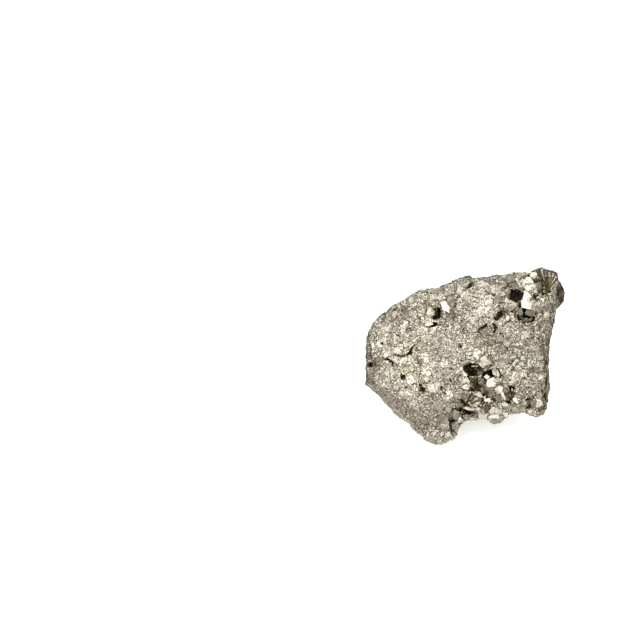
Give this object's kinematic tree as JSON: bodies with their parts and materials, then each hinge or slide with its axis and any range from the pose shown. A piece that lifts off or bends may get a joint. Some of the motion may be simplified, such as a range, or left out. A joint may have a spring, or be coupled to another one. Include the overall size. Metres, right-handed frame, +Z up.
{
  "type": "pyrite specimen",
  "caption": "Rough chunk of massive pyrite with nests of cube crystals, deep pits and cracks, levelled underneath so that it stands on a shelf.",
  "frame": {"origin": "middle of the bounding box, on the surface the chunk rests on", "axes": "+Z up, -Y towards the viewer on the side of the broad broken face, +X to that viewer's right"},
  "size_m": [0.0502, 0.036, 0.0389],
  "materials": {
    "pyrite": "rough granular metallic mineral, pale brassy grey"
  },
  "bodies": {
    "root": {"pyrite_chunk": "pyrite"}
  },
  "joints": []
}
